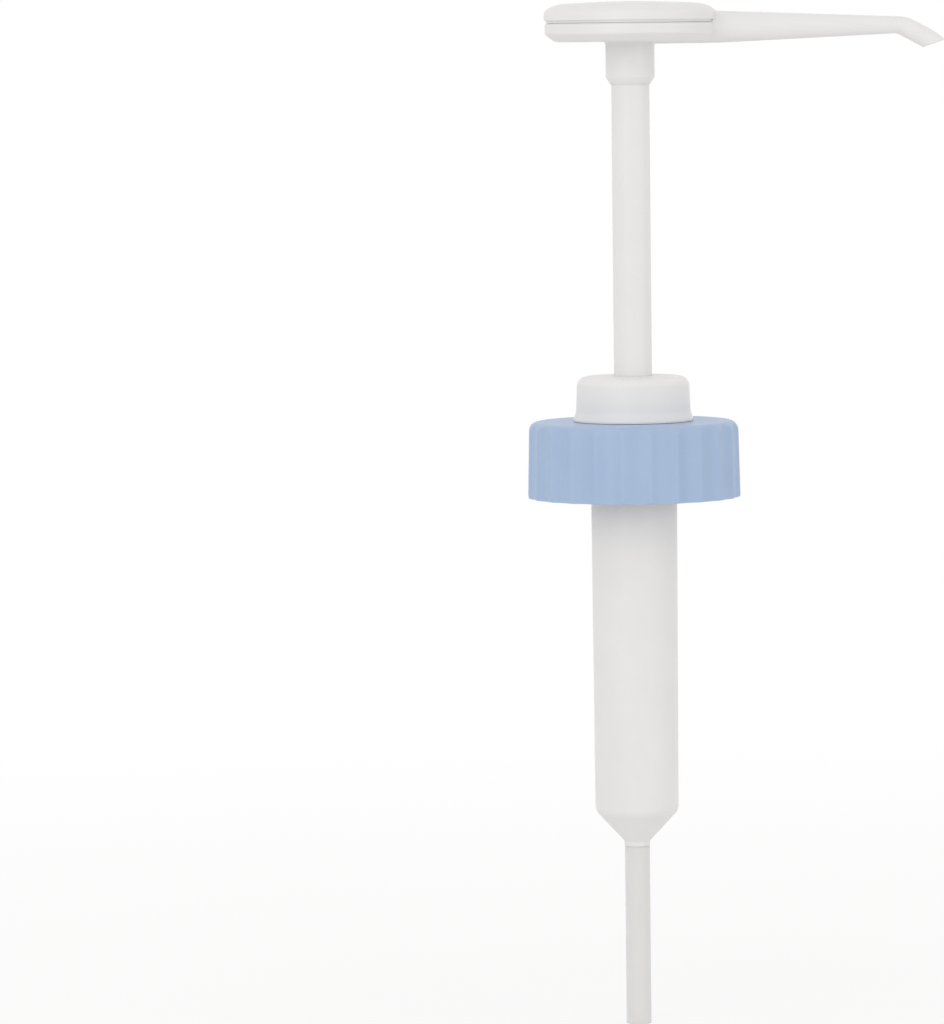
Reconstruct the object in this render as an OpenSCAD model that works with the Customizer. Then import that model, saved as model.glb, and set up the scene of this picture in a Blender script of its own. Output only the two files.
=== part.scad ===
// Hand pump that screws onto the neck of a jerrycan and doses liquid through a long spout.
// The origin is on the pump's axis, where the gasket meets the rim of the neck.
// +Z is up, and the spout points along +X. Lengths are in millimetres.

/* [Head] */
// Diameter of the round pad that the palm presses
head_d = 56.4; // [50:0.2:66]
// Height of the lower half of the head, which carries the spout
head_base_h = 6.2; // [5.6:0.1:8]
// Shadow gap between the lower half and the lid
lid_gap = 0.8; // [0.4:0.1:1.2]
// Depth of the shadow gap
lid_gap_depth = 0.7; // [0.4:0.1:1.2]
// Height of the lid's rim above the shadow gap
lid_rim_h = 4.6; // [4:0.2:7]
// Rise of the lid's dome above its rim
lid_dome_h = 1.6; // [0.8:0.2:3]
// Radius of the lid's upper edge
lid_edge_r = 3; // [1:0.2:3.4]
// Radius of the head's lower edge
head_edge_r = 3.2; // [1:0.2:4]
// Wall of the head's two shells
head_wall = 2; // [1.4:0.1:2.4]

/* [Spout] */
// Height of the spout's centre line above the underside of the head
spout_rise = 4.5; // [4.2:0.1:5.4]
// Diameter of the spout where it leaves the head
spout_root_d = 10.5; // [9.5:0.1:11]
// Diameter of the spout just before its bend
spout_end_d = 5.6; // [5.4:0.2:7.6]
// Diameter of the bent tip
spout_tip_d = 6.4; // [5.8:0.2:8]
// Distance from the pump's axis to the bend
spout_bend_x = 88.3; // [70:0.1:110]
// Length of the bent tip along its centre line
spout_tip_l = 12; // [9:0.5:18]
// Angle of the bent tip below the horizontal
spout_bend = 28; // [20:1:45]
// Angle at which the tip is cut off, rising outwards
spout_cut = 19; // [0:1:25]
// Diameter of the liquid channel in the spout
spout_bore_d = 3.8; // [3:0.1:4]

/* [Stem] */
// Outside diameter of the stem
stem_d = 12.5; // [11.8:0.1:13]
// Bore of the stem
stem_bore_d = 8.5; // [7.8:0.1:9]
// Width of the shoulder by which the stem pushes the piston
stem_shoulder_w = 0.75; // [0.5:0.05:1]
// Diameter of the socket under the head that grips the stem
socket_d = 16; // [15.2:0.1:18]
// Length of the socket below the head
socket_l = 13.9; // [10:0.1:18]
// Length of the taper at the socket's lower end
socket_taper_l = 2.4; // [2:0.2:5]
// Travel of the plunger from fully up to fully down
stroke = 95; // [60:1:120]

/* [Collar] */
// Diameter of the collar at its top
collar_d = 36.6; // [35:0.2:38]
// How much wider the collar's side gets on its way down, on the radius
collar_draft = 0.6; // [0.2:0.1:0.7]
// Diameter of the collar's foot, on the screw cap
collar_foot_d = 39.8; // [39.4:0.2:42]
// Height of the collar's flared foot
collar_flare_h = 2.2; // [1.4:0.2:4]
// Height of the collar above the screw cap
collar_h = 14.7; // [12:0.1:16]
// Thickness of the collar's top
collar_top_t = 3.4; // [2.4:0.1:4]
// Radius of the collar's upper edge
collar_edge_r = 3; // [1:0.2:4]

/* [Screw cap] */
// Diameter of the screw cap under its rounded shoulder
cap_d = 69; // [68:0.5:74]
// Diameter of the screw cap at its lower edge
cap_foot_d = 70.6; // [70:0.2:75]
// Height of the screw cap
cap_h = 25; // [23:0.1:30]
// Thickness of the cap's top wall
cap_top_t = 2.2; // [1.8:0.1:3.2]
// Thickness of the cap's side wall at its lower edge, down to the thread's roots
cap_wall = 4.8; // [4:0.1:6]
// Radius of the cap's shoulder
cap_shoulder_r = 3.2; // [1:0.2:5]
// Radius of the cap's lower edge
cap_foot_edge_r = 0.8; // [0.4:0.2:2]
// Number of grip flutes round the cap
flute_count = 24; // [16:1:30]
// Depth of a flute
flute_depth = 1.2; // [0.6:0.1:1.4]
// Radius of the round cutter that makes a flute
flute_r = 7.4; // [5:0.2:8]

/* [Neck thread] */
// Depth of the thread, from its roots to its crests
thread_depth = 1.8; // [1:0.1:2.4]
// Pitch of the thread
thread_pitch = 4; // [3:0.25:5]
// Number of turns of thread
thread_turns = 2.5; // [1.5:0.25:3]

/* [Barrel] */
// Outside diameter of the barrel just below the flange
barrel_d = 28.4; // [27.6:0.1:29]
// Outside diameter of the barrel at its lower end
barrel_foot_d = 27.4; // [27:0.1:28.4]
// Bore of the barrel
barrel_bore_d = 23.6; // [23:0.1:24]
// Room left for the closed spring under the piston's nut when the plunger is down
foot_room = 10.7; // [6:0.1:20]
// Height of the cone under the barrel
cone_h = 10.3; // [9:0.1:12]
// Wall of the cone
cone_wall = 2; // [1.6:0.1:2.2]
// Radius between the barrel's side and its cone
barrel_edge_r = 3; // [1:0.2:4]
// Length of the stub under the cone
stub_l = 1.6; // [1:0.1:5]
// Length of the spigot that the dip tube slides over
spigot_l = 13.5; // [8:0.5:18]
// Bore of the spigot
spigot_bore_d = 4; // [3:0.1:4.2]
// Thickness of the barrel's flange
flange_t = 2.2; // [1.8:0.1:3.2]
// Outside diameter of the barrel's neck, inside the collar
barrel_neck_d = 29.2; // [28.4:0.1:30]
// Diameter of the vent hole in the barrel's wall
vent_d = 1.8; // [1:0.1:2.4]
// Thickness of the gasket under the flange
gasket_t = 2; // [1:0.1:3]

/* [Piston] */
// Height of the piston
piston_h = 13; // [12:0.2:16]
// Thickness of the piston's crown
piston_crown_t = 2; // [1.6:0.1:3]
// Thickness of the piston's skirt
piston_skirt_t = 1.75; // [1.5:0.05:2]
// Height of the piston's top above the rim of the neck when the plunger is up
piston_rest_z = 3; // [2:0.2:4]
// Height of each piston ring
ring_h = 2.4; // [1.6:0.1:3]
// Depth of each ring groove
ring_groove = 0.8; // [0.4:0.1:0.9]

/* [Valves] */
// Diameter of the ball in the foot of the barrel
suction_ball_d = 9; // [8:0.1:9.8]
// Diameter of the ball in the foot of the stem
discharge_ball_d = 6.4; // [5.6:0.1:6.6]
// Free lift of the ball in the foot of the stem
discharge_lift = 2.4; // [1.5:0.1:3]
// Free lift of the ball in the foot of the barrel
suction_lift = 2.3; // [1.5:0.1:3]
// Thickness of the cage over the lower ball
cage_t = 2.8; // [2:0.1:4]
// Width of a spoke of the cage
cage_spoke_w = 2; // [1.4:0.1:3]

/* [Return spring] */
// Diameter of the spring's wire
wire_d = 1.4; // [1:0.1:1.5]
// Number of turns of the spring
spring_turns = 11; // [8:1:13]

/* [Dip tube] */
// Outside diameter of the dip tube
tube_d = 8.2; // [8:0.1:9]
// Bore of the dip tube
tube_bore_d = 6; // [5.6:0.1:6.4]
// Length of the dip tube
tube_l = 59; // [30:1:320]

/* [Hidden] */
// Gaps between pieces: pressed together, sliding, seated loosely, and stopped short of touching
press_gap = 0.03;
slide_gap = 0.08;
seat_gap = 0.15;
stop_gap = 0.3;
// How far one solid runs into another of the same piece, and how far a cut runs past a face
weld = 0.5;
over = 1;
// Broken edges of the mouldings
fine_edge_r = 0.4;
soft_edge_r = 0.8;
// Smoothness of turned surfaces, steps of a rounded edge, and the share of a side that an edge may take
$fn = 96;
edge_steps = 6;
edge_share = 0.48;

// Levels up the axis, from the rim of the neck
flange_z = gasket_t;
flange_top_z = flange_z + flange_t;
cap_top_z = flange_top_z + slide_gap + cap_top_t;
cap_foot_z = cap_top_z - cap_h;
collar_z = cap_top_z + stop_gap;
collar_top_z = collar_z + collar_h;
collar_ceiling_z = collar_top_z - collar_top_t;
barrel_top_z = collar_ceiling_z - press_gap;
socket_z = collar_top_z + stroke + stop_gap;
head_z = socket_z + socket_l;
spout_z = head_z + spout_rise;
lid_seat_z = head_z + head_base_h + press_gap;
lid_z = head_z + head_base_h + lid_gap;
lid_rim_z = lid_z + lid_rim_h;

// The head: its lid overhangs its base, and a tower in the base leads the liquid to the spout
lid_overhang = 0.3;
lid_t = 1;
head_base_d = head_d - 2 * lid_overhang;
base_cup_d = head_base_d - 2 * head_wall;
duct_d = spout_bore_d + 2 * head_wall;
tower_rise = 0.8;
tower_top_z = spout_z + duct_d / 2 + tower_rise;
lid_ceiling_z = max(lid_rim_z - lid_t, tower_top_z + stop_gap);
stem_top_z = head_z + weld;
socket_lip_w = 0.2;

// The spout's taper starts inside the wall of the base
spout_start_x = base_cup_d / 2 - over;
spout_flare = (spout_root_d - spout_end_d) / 2 / (spout_bend_x - head_d / 2);
spout_knuckle = 0.1;

// The plunger, fully up
piston_gap = 0.6;
piston_d = barrel_bore_d - 2 * piston_gap;
piston_top_z = piston_rest_z;
crown_z = piston_top_z - piston_crown_t;
piston_foot_z = piston_top_z - piston_h;
ring_inset = 1.1;
upper_ring_z = piston_top_z - ring_inset - ring_h;
lower_ring_z = piston_foot_z + ring_inset;
vent_z = (upper_ring_z + lower_ring_z + ring_h) / 2;
cup_d = piston_d - 2 * piston_skirt_t;
cup_clearance = 0.45;
spring_d = cup_d - 2 * cup_clearance - wire_d;
stem_neck_d = stem_d - 2 * stem_shoulder_w;

// The spring is drawn with this many straight pieces a turn, whose middles narrow its bore
curl_rings = 16;
spring_bore_d = spring_d * cos(180 / curl_rings) - wire_d;

// The upper valve: its seat is a cone of 45 degrees in the nut under the piston
nut_socket_l = 8.5;
nut_floor_t = 4;
nut_flange_t = 2.4;
nut_flange_w = 0.5;
nut_hole_d = 3.6;
nut_flange_d = spring_bore_d - 2 * stop_gap;
nut_d = nut_flange_d - 2 * nut_flange_w;
nut_top_z = crown_z - slide_gap;
stem_foot_z = crown_z - nut_socket_l;
nut_z = stem_foot_z - nut_floor_t;
nut_cone_tip_z = stem_foot_z - stem_bore_d / 2;
discharge_ball_z = nut_cone_tip_z + discharge_ball_d / 2 * sqrt(2) + seat_gap;
ball_stop_z = discharge_ball_z + discharge_ball_d / 2 + discharge_lift + stop_gap;
ball_stop_t = 2;
ball_stop_w = 1.4;

// The lower valve: its cage stands on a ledge, and its seat is the cone under that ledge
ledge_w = 1;
ledge_r = barrel_bore_d / 2 - ledge_w;
cage_top_z = nut_z - stroke - foot_room;
ledge_z = cage_top_z - cage_t;
stub_lip = 0.1;
stub_d = tube_d + 2 * stub_lip;
cone_slope = (barrel_foot_d - stub_d) / 2 / cone_h;
cone_angle = atan(cone_slope);
cone_inset = cone_wall / cos(cone_angle);
suction_ball_z = ledge_z - stop_gap - suction_lift - suction_ball_d / 2;
seat_tip_z = suction_ball_z - seat_gap - suction_ball_d / 2 / sin(cone_angle);
seat_hole_z = seat_tip_z + spigot_bore_d / 2 / cone_slope;
seat_top_z = seat_tip_z + ledge_r / cone_slope;

// The barrel's foot follows from the seat inside it
barrel_corner_z = seat_top_z + (barrel_foot_d / 2 - ledge_r - cone_inset) / cone_slope;
stub_top_z = barrel_corner_z - cone_h;
stub_z = stub_top_z - stub_l;
spigot_z = stub_z - spigot_l;

// The collar's guide for the stem, its wiper and its snap bead
guide_d = barrel_bore_d - 2 * press_gap;
guide_bore_d = stem_d + 1.8;
wiper_h = 2.4;
wiper_w = 2.2;
wiper_lip = 0.8;
wiper_z = collar_ceiling_z - wiper_h;
stem_hole_d = stem_d + 2 * slide_gap;
bead_h = 0.4;
bead_w = 1.6;
bead_z = (collar_z + barrel_top_z) / 2;

// The cap turns round the barrel's neck, whose bead passes its hole, and its thread passes the flange
cap_hole_d = barrel_neck_d + 2 * bead_h + 2 * stop_gap;
thread_d = cap_foot_d - 2 * cap_wall;
thread_crest_d = thread_d - 2 * thread_depth;
flange_d = thread_crest_d - 2 * stop_gap;
gasket_d = flange_d - 2 * stop_gap;

// Colours
white_pp = [0.91, 0.91, 0.90];
blue_pp = [0.55, 0.70, 0.86];
natural_pe = [0.88, 0.87, 0.86];
grey_rubber = [0.80, 0.80, 0.79];
black_rubber = [0.12, 0.12, 0.13];
steel = [0.72, 0.73, 0.74];

// Rounded outlines: a corner is [radius, height] or [radius, height, edge radius]
function flat(p) = [p[0], p[1]];
function unit(v) = v / norm(v);
function turn_between(from, to) = (to - from + 540) % 360 - 180;

function edge_points(a, b, c, wanted_r) =
    let (
        u = unit(a - b),
        v = unit(c - b),
        half = acos(u * v) / 2,
        r = min(wanted_r, edge_share * min(norm(a - b), norm(c - b)) * tan(half)),
        centre = b + unit(u + v) * r / sin(half),
        first = b + u * r / tan(half) - centre,
        last = b + v * r / tan(half) - centre,
        start = atan2(first.y, first.x),
        sweep = turn_between(start, atan2(last.y, last.x))
    )
    [for (i = [0:edge_steps])
        centre + r * [cos(start + sweep * i / edge_steps), sin(start + sweep * i / edge_steps)]];

function outline(corners) =
    let (n = len(corners))
    [for (i = [0:n - 1])
        let (
            a = flat(corners[(i + n - 1) % n]),
            b = flat(corners[i]),
            c = flat(corners[(i + 1) % n])
        )
        each len(corners[i]) > 2 ? edge_points(a, b, c, corners[i][2]) : [b]];

module turned(corners) {
    rotate_extrude()
        polygon(outline(corners));
}

module along_x(x, z) {
    translate([x, 0, z])
        rotate([0, 90, 0])
            children();
}

// The spout's taper from start_x to the bend, larger all round by grow
module spout_taper(start_x, grow = 0) {
    start_r = spout_root_d / 2 + (head_d / 2 - start_x) * spout_flare;
    along_x(start_x, spout_z)
        cylinder(r1 = start_r + grow, r2 = spout_end_d / 2 + grow, h = spout_bend_x - start_x);
}

// A bent tip of diameter d, longer than the spout's, with a ball at the bend
module spout_tip(d) {
    translate([spout_bend_x, 0, spout_z]) {
        sphere(d = d + 2 * spout_knuckle);
        rotate([0, 90 + spout_bend, 0])
            cylinder(d = d, h = 2 * spout_tip_l);
    }
}

// What is cut off below the slanting end of the tip
module spout_cut_off() {
    side = 2 * spout_tip_l + 2 * spout_tip_d;
    translate([spout_bend_x + spout_tip_l * cos(spout_bend), 0, spout_z - spout_tip_l * sin(spout_bend)])
        rotate([0, -spout_cut, 0])
            translate([-side / 2, -side / 2, -side])
                cube(side);
}

// Lower half of the head: a round tray with the stem's socket under it and the spout at its side
module head_base() {
    color(white_pp)
        difference() {
            union() {
                difference() {
                    turned([
                        [0, head_z],
                        [head_base_d / 2, head_z, head_edge_r],
                        [head_base_d / 2, head_z + head_base_h],
                        [0, head_z + head_base_h]
                    ]);
                    translate([0, 0, head_z + head_wall])
                        cylinder(d = base_cup_d, h = head_base_h);
                }
                turned([
                    [0, socket_z],
                    [stem_d / 2 + socket_lip_w, socket_z],
                    [socket_d / 2, socket_z + socket_taper_l, soft_edge_r],
                    [socket_d / 2, tower_top_z],
                    [0, tower_top_z]
                ]);
                along_x(0, spout_z)
                    cylinder(d = duct_d, h = spout_start_x + weld);
                // Keel under the tray, which carries the spout's round underside on to the socket
                difference() {
                    along_x(0, spout_z)
                        cylinder(d = spout_root_d, h = spout_start_x + weld);
                    translate([-over, -spout_root_d, head_z + head_wall / 2])
                        cube([head_d, 2 * spout_root_d, spout_root_d]);
                }
                difference() {
                    union() {
                        spout_taper(spout_start_x);
                        spout_tip(spout_tip_d);
                    }
                    spout_cut_off();
                }
            }
            // Socket for the stem, and the liquid's way from the stem to the tip
            translate([0, 0, socket_z - over])
                cylinder(d = stem_d + 2 * press_gap, h = stem_top_z - socket_z + over);
            translate([0, 0, socket_z])
                cylinder(d = stem_bore_d, h = spout_z + spout_bore_d / 2 + weld - socket_z);
            along_x(0, spout_z)
                cylinder(d = spout_bore_d, h = spout_bend_x);
            spout_tip(spout_bore_d);
        }
}

// Domed lid that is pressed into the tray, with a notch in its side for the spout
dome_steps = 4;
dome_r = (pow(head_d / 2, 2) + pow(lid_dome_h, 2)) / 2 / lid_dome_h;

function dome_z(x) = lid_rim_z + lid_dome_h - dome_r + sqrt(dome_r * dome_r - x * x);

module head_lid() {
    skirt_d = base_cup_d - 2 * press_gap;
    skirt_bore_d = skirt_d - 2 * head_wall;
    notch_x = skirt_bore_d / 2 - weld;
    notch_w = spout_root_d + 2 * stop_gap;
    dome_step = head_d / 2 / dome_steps;
    dome = [for (i = [dome_steps - 1:-1:0]) [dome_step * i, dome_z(dome_step * i)]];
    color(white_pp)
        difference() {
            union() {
                turned(concat(
                    [
                        [0, lid_seat_z],
                        [head_base_d / 2 - lid_gap_depth, lid_seat_z],
                        [head_base_d / 2 - lid_gap_depth, lid_z],
                        [head_d / 2, lid_z, fine_edge_r],
                        [head_d / 2, lid_rim_z, lid_edge_r]
                    ],
                    dome
                ));
                translate([0, 0, head_z + head_wall])
                    cylinder(d = skirt_d, h = lid_z - head_z - head_wall + weld);
            }
            translate([0, 0, head_z])
                cylinder(d = skirt_bore_d, h = lid_ceiling_z - head_z);
            spout_taper(notch_x, seat_gap);
            translate([notch_x, -notch_w / 2, head_z])
                cube([head_d, notch_w, spout_rise]);
        }
}

// Hollow stem: a tube that ends in a narrower neck for the piston, with a cross that stops the ball
module stem() {
    color(white_pp)
        union() {
            turned([
                [stem_bore_d / 2, stem_foot_z],
                [stem_neck_d / 2, stem_foot_z],
                [stem_neck_d / 2, piston_top_z + slide_gap],
                [stem_d / 2, piston_top_z + slide_gap],
                [stem_d / 2, stem_top_z, fine_edge_r],
                [stem_bore_d / 2, stem_top_z]
            ]);
            intersection() {
                for (angle = [0, 90])
                    rotate([0, 0, angle])
                        translate([-stem_d / 2, -ball_stop_w / 2, ball_stop_z])
                            cube([stem_d, ball_stop_w, ball_stop_t]);
                translate([0, 0, ball_stop_z])
                    cylinder(d = (stem_bore_d + stem_neck_d) / 2, h = ball_stop_t);
            }
        }
}

// Ball that closes the stem while the plunger rises
module discharge_ball() {
    color(steel)
        translate([0, 0, discharge_ball_z])
            sphere(d = discharge_ball_d);
}

// Nut on the stem's neck: it holds the piston and has the upper ball's seat
module piston_nut() {
    color(white_pp)
        turned([
            [nut_hole_d / 2, nut_z],
            [nut_d / 2, nut_z, soft_edge_r],
            [nut_d / 2, nut_top_z - nut_flange_t],
            [nut_flange_d / 2, nut_top_z - nut_flange_t],
            [nut_flange_d / 2, nut_top_z],
            [stem_neck_d / 2 + press_gap, nut_top_z],
            [stem_neck_d / 2 + press_gap, stem_foot_z],
            [stem_bore_d / 2, stem_foot_z],
            [nut_hole_d / 2, nut_cone_tip_z + nut_hole_d / 2]
        ]);
}

// Piston: a cup, open downwards, whose crown turns on the stem's neck and whose skirt has two ring grooves
module piston() {
    groove_r = piston_d / 2 - ring_groove;
    color(natural_pe)
        turned([
            [stem_neck_d / 2 + slide_gap, crown_z],
            [cup_d / 2, crown_z],
            [cup_d / 2, piston_foot_z],
            [piston_d / 2, piston_foot_z, fine_edge_r],
            [piston_d / 2, lower_ring_z],
            [groove_r, lower_ring_z],
            [groove_r, lower_ring_z + ring_h],
            [piston_d / 2, lower_ring_z + ring_h],
            [piston_d / 2, upper_ring_z],
            [groove_r, upper_ring_z],
            [groove_r, upper_ring_z + ring_h],
            [piston_d / 2, upper_ring_z + ring_h],
            [piston_d / 2, piston_top_z, fine_edge_r],
            [stem_neck_d / 2 + slide_gap, piston_top_z]
        ]);
}

// Rubber ring in a groove of the piston, with a lip at mid height that wipes the barrel
module piston_ring(z) {
    inner_r = piston_d / 2 - ring_groove + press_gap;
    outer_r = barrel_bore_d / 2 - slide_gap;
    lip_h = ring_h / 2;
    color(black_rubber)
        turned([
            [inner_r, z + press_gap],
            [piston_d / 2, z + press_gap],
            [outer_r, z + (ring_h - lip_h) / 2],
            [outer_r, z + (ring_h + lip_h) / 2],
            [piston_d / 2, z + ring_h - press_gap],
            [inner_r, z + ring_h - press_gap]
        ]);
}

// Skin of a tube made of n rings of s points each, closed at both ends
function tube_faces(n, s) = concat(
    [for (k = [1:s - 2]) [0, k + 1, k]],
    [for (i = [0:n - 2])
        for (k = [0:s - 1])
            let (a = i * s + k, b = i * s + (k + 1) % s)
            each [[a, b, a + s], [b, b + s, a + s]]],
    [for (k = [1:s - 2]) (n - 1) * s * [1, 1, 1] + [0, k, k + 1]]
);

// Compression spring with closed ends, from the cage to the piston's crown
spring_foot_z = cage_top_z + wire_d / 2 + press_gap;
spring_l = crown_z - cage_top_z - wire_d - 2 * press_gap;
end_rise = wire_d + 2 * stop_gap;
wire_sides = 6;

function spring_height(turns) =
    turns < 1 ? end_rise * turns
    : turns > spring_turns - 1 ? spring_l - end_rise * (spring_turns - turns)
    : end_rise + (spring_l - 2 * end_rise) * (turns - 1) / (spring_turns - 2);

function spring_point(turns, out, up) = [
    (spring_d / 2 + out) * cos(360 * turns),
    (spring_d / 2 + out) * sin(360 * turns),
    spring_foot_z + spring_height(turns) + up
];

function wire_ring(turns) =
    [for (k = [0:wire_sides - 1])
        let (angle = 360 * k / wire_sides)
        spring_point(turns, wire_d / 2 * cos(angle), wire_d / 2 * sin(angle))];

module return_spring() {
    rings = spring_turns * curl_rings;
    steps = [for (i = [0:rings - curl_rings])
        norm(spring_point(i / curl_rings + 1, 0, 0) - spring_point(i / curl_rings, 0, 0))];
    echo(least_gap_between_turns = min(steps) - wire_d);
    color(steel)
        polyhedron(
            points = [for (i = [0:rings]) each wire_ring(i / curl_rings)],
            faces = tube_faces(rings + 1, wire_sides)
        );
}

// Collar that snaps onto the barrel's neck: it guides the stem, stops the piston and traps the screw cap
module collar() {
    bore_r = barrel_neck_d / 2 + press_gap;
    groove_w = bead_w / 2 + press_gap;
    guide_foot_z = piston_top_z + stop_gap;
    wiper_r = stem_hole_d / 2 + wiper_w;
    color(white_pp)
        turned([
            [bore_r, collar_z],
            [collar_foot_d / 2, collar_z, fine_edge_r],
            [collar_d / 2 + collar_draft, collar_z + collar_flare_h, collar_flare_h],
            [collar_d / 2, collar_top_z, collar_edge_r],
            [stem_hole_d / 2, collar_top_z, soft_edge_r],
            [stem_hole_d / 2, collar_ceiling_z],
            [wiper_r, collar_ceiling_z],
            [wiper_r, wiper_z],
            [guide_bore_d / 2, wiper_z],
            [guide_bore_d / 2, guide_foot_z],
            [guide_d / 2, guide_foot_z, fine_edge_r],
            [guide_d / 2, collar_ceiling_z],
            [bore_r, collar_ceiling_z],
            [bore_r, bead_z + groove_w],
            [bore_r + bead_h, bead_z],
            [bore_r, bead_z - groove_w]
        ]);
}

// Lip ring in the collar that wipes the stem
module stem_wiper() {
    inner_r = stem_hole_d / 2;
    outer_r = inner_r + wiper_w - press_gap;
    color(natural_pe)
        turned([
            [inner_r, wiper_z + wiper_h / 2],
            [inner_r + wiper_lip, wiper_z + press_gap],
            [outer_r, wiper_z + press_gap],
            [outer_r, wiper_z + wiper_h - press_gap],
            [inner_r, wiper_z + wiper_h - press_gap]
        ]);
}

// Helical thread inside the cap, fading into the wall over a part of a turn at both ends
thread_steps = 24;
thread_fade = 0.25;
thread_root_h = 2.6;
thread_crest_h = 1.2;
thread_foot_z = cap_foot_z + thread_root_h;

function thread_crest_r(turns) =
    let (fade = min(1, turns / thread_fade, (thread_turns - turns) / thread_fade))
    thread_d / 2 - max(slide_gap, thread_depth * fade);

function thread_section(turns) =
    let (
        root_r = thread_d / 2 + weld,
        crest_r = thread_crest_r(turns),
        corners = [
            [root_r, -thread_root_h / 2],
            [root_r, thread_root_h / 2],
            [crest_r, thread_crest_h / 2],
            [crest_r, -thread_crest_h / 2]
        ]
    )
    [for (p = corners)
        [p.x * cos(360 * turns), p.x * sin(360 * turns), thread_foot_z + thread_pitch * turns + p.y]];

module neck_thread() {
    steps = floor(thread_turns * thread_steps);
    polyhedron(
        points = [for (i = [0:steps]) each thread_section(i / thread_steps)],
        faces = tube_faces(steps + 1, 4)
    );
}

// Screw cap: a fluted nut that turns on the barrel's flange and pulls the gasket onto the neck
module screw_cap() {
    cap_lean = atan((cap_foot_d - cap_d) / 2 / cap_h);
    color(blue_pp)
        union() {
            difference() {
                turned([
                    [cap_hole_d / 2, cap_top_z - cap_top_t],
                    [thread_d / 2, cap_top_z - cap_top_t],
                    [thread_d / 2, cap_foot_z],
                    [cap_foot_d / 2, cap_foot_z, cap_foot_edge_r],
                    [cap_d / 2, cap_top_z, cap_shoulder_r],
                    [cap_hole_d / 2, cap_top_z, fine_edge_r]
                ]);
                // The cutters lean with the cap's side, so that a flute is as deep above as below
                for (i = [0:flute_count - 1])
                    rotate([0, 0, 360 * i / flute_count])
                        translate([cap_foot_d / 2 - flute_depth + flute_r, 0, cap_foot_z])
                            rotate([0, -cap_lean, 0])
                                translate([0, 0, -over])
                                    cylinder(r = flute_r, h = cap_h + 2 * over);
            }
            neck_thread();
        }
}

// Flat gasket between the barrel's flange and the rim of the neck
module neck_gasket() {
    color(grey_rubber)
        difference() {
            cylinder(d = gasket_d, h = gasket_t);
            translate([0, 0, -over])
                cylinder(d = barrel_d + 2 * slide_gap, h = gasket_t + 2 * over);
        }
}

// Barrel: a tube with a flange and a snap neck above, and a cone, a stub and a spigot below
module barrel() {
    spigot_r = tube_bore_d / 2 - press_gap;
    color(white_pp)
        difference() {
            turned([
                [spigot_bore_d / 2, spigot_z],
                [spigot_r, spigot_z, fine_edge_r],
                [spigot_r, stub_z],
                [stub_d / 2, stub_z],
                [stub_d / 2, stub_top_z, soft_edge_r],
                [barrel_foot_d / 2, barrel_corner_z, barrel_edge_r],
                [barrel_d / 2, flange_z],
                [flange_d / 2, flange_z, fine_edge_r],
                [flange_d / 2, flange_top_z, fine_edge_r],
                [barrel_neck_d / 2, flange_top_z],
                [barrel_neck_d / 2, bead_z - bead_w / 2],
                [barrel_neck_d / 2 + bead_h, bead_z],
                [barrel_neck_d / 2, bead_z + bead_w / 2],
                [barrel_neck_d / 2, barrel_top_z],
                [barrel_bore_d / 2, barrel_top_z],
                [barrel_bore_d / 2, ledge_z],
                [ledge_r, ledge_z],
                [ledge_r, seat_top_z],
                [spigot_bore_d / 2, seat_hole_z]
            ]);
            translate([0, 0, vent_z])
                rotate([-90, 0, 0])
                    cylinder(d = vent_d, h = barrel_d);
        }
}

// Spoked ring over the lower ball: it keeps the ball in and carries the spring
module valve_cage() {
    hub_d = suction_ball_d / 2;
    rim_bore_d = spring_bore_d - 2 * over;
    spokes = 3;
    color(natural_pe)
        translate([0, 0, ledge_z])
            union() {
                difference() {
                    cylinder(d = barrel_bore_d - 2 * press_gap, h = cage_t);
                    translate([0, 0, -over])
                        cylinder(d = rim_bore_d, h = cage_t + 2 * over);
                }
                cylinder(d = hub_d, h = cage_t);
                for (i = [0:spokes - 1])
                    rotate([0, 0, 360 * i / spokes])
                        translate([0, -cage_spoke_w / 2, 0])
                            cube([rim_bore_d / 2 + weld, cage_spoke_w, cage_t]);
            }
}

// Ball that closes the barrel's foot while the plunger goes down
module suction_ball() {
    color(steel)
        translate([0, 0, suction_ball_z])
            sphere(d = suction_ball_d);
}

// Straight tube, cut off square, that is pushed over the spigot and hangs in the liquid
module dip_tube() {
    tube_foot_z = stub_z - press_gap - tube_l;
    color(natural_pe)
        difference() {
            translate([0, 0, tube_foot_z])
                cylinder(d = tube_d, h = tube_l);
            translate([0, 0, tube_foot_z - over])
                cylinder(d = tube_bore_d, h = tube_l + 2 * over);
        }
}

head_base();
head_lid();
stem();
discharge_ball();
piston_nut();
piston();
piston_ring(upper_ring_z);  // upper_piston_ring
piston_ring(lower_ring_z);  // lower_piston_ring
return_spring();
collar();
stem_wiper();
screw_cap();
neck_gasket();
barrel();
valve_cage();
suction_ball();
dip_tube();
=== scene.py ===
from math import atan2, cos, pi, radians, sin, sqrt, tan

import bmesh
import bpy
from mathutils import Matrix, Vector


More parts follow.
